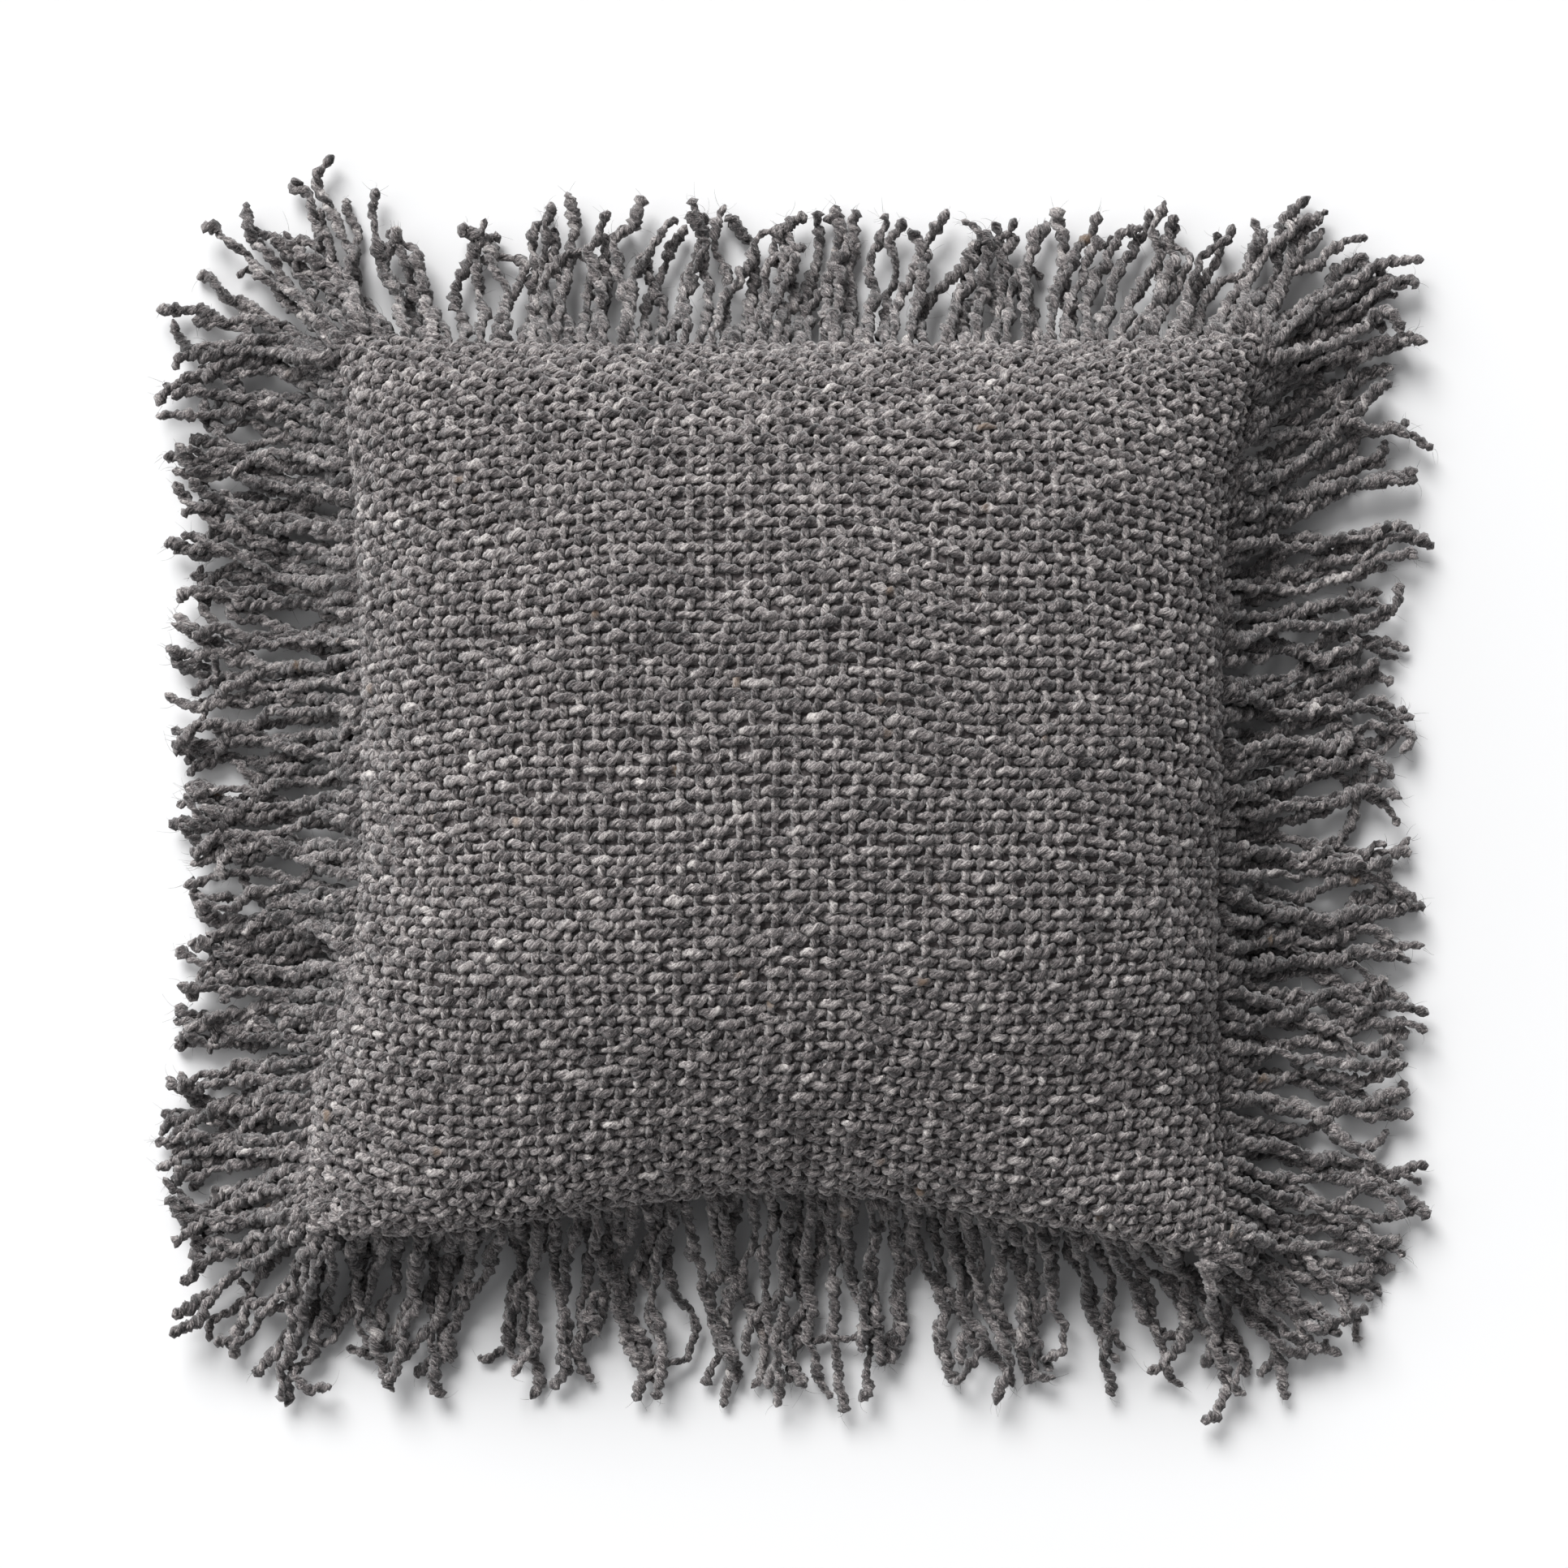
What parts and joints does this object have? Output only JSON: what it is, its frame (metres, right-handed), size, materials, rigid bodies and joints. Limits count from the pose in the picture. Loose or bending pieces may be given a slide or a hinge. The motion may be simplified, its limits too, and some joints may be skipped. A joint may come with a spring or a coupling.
{
  "type": "fringed throw pillow",
  "caption": "Square stuffed throw pillow with a chunky hand-woven wool cover, plied wool cord fringe on all sides, a zip across the back and a removable insert.",
  "frame": {"origin": "under the middle of the pillow, on the surface that it lies on", "axes": "+Z up through the face; +X right and +Y up as the face is seen; the zip runs along X near the lower edge of the back"},
  "size_m": [0.72, 0.688, 0.156],
  "materials": {
    "woven_wool": "chunky hand-woven heathered wool, matte and fuzzy",
    "wool_cord": "two-ply twisted wool cord, matte and fuzzy",
    "cotton_tape": "woven tape, matte",
    "white_cotton": "plain-weave cotton, matte",
    "polyester_fibre": "loose hollow fibre",
    "nylon_coil": "satin nylon",
    "dark_nickel": "dark nickel plate",
    "satin_label": "woven satin, blank"
  },
  "bodies": {
    "pillow": {"cover_front_panel": "woven_wool", "cover_back_panel_upper": "woven_wool", "cover_back_panel_lower": "woven_wool", "fringe_heading_right": "cotton_tape", "fringe_heading_top": "cotton_tape", "fringe_heading_left": "cotton_tape", "fringe_heading_bottom": "cotton_tape", "fringe_right_1": "wool_cord", "fringe_right_2": "wool_cord", "fringe_right_3": "wool_cord", "fringe_right_4": "wool_cord", "fringe_right_5": "wool_cord", "fringe_top_1": "wool_cord", "fringe_top_2": "wool_cord", "fringe_top_3": "wool_cord", "fringe_top_4": "wool_cord", "fringe_top_5": "wool_cord", "fringe_left_1": "wool_cord", "fringe_left_2": "wool_cord", "fringe_left_3": "wool_cord", "fringe_left_4": "wool_cord", "fringe_left_5": "wool_cord", "fringe_bottom_1": "wool_cord", "fringe_bottom_2": "wool_cord", "fringe_bottom_3": "wool_cord", "fringe_bottom_4": "wool_cord", "fringe_bottom_5": "wool_cord", "fringe_corner_top_right": "wool_cord", "fringe_corner_top_left": "wool_cord", "fringe_corner_bottom_left": "wool_cord", "fringe_corner_bottom_right": "wool_cord", "insert_casing_front": "white_cotton", "insert_casing_back": "white_cotton", "insert_filling": "polyester_fibre", "zip_tape_upper": "cotton_tape", "zip_tape_lower": "cotton_tape", "zip_coil_upper": "nylon_coil", "zip_coil_lower": "nylon_coil", "zip_stop_closed_end": "dark_nickel", "zip_stop_open_end": "dark_nickel", "care_label": "satin_label"},
    "slider": {"zip_slider": "dark_nickel"},
    "pull": {"zip_pull": "dark_nickel"}
  },
  "joints": [
    {"name": "zip_slide", "type": "slide", "parent": "pillow", "child": "slider", "axis": [-1, 0, 0], "range_m": [0, 0.336]},
    {"name": "zip_pull_swing", "type": "hinge", "parent": "slider", "child": "pull", "pos_m": [0.168, -0.19225, 0.03164], "axis": [0, -0.9138, 0.4061], "range_deg": [0, 172]}
  ]
}
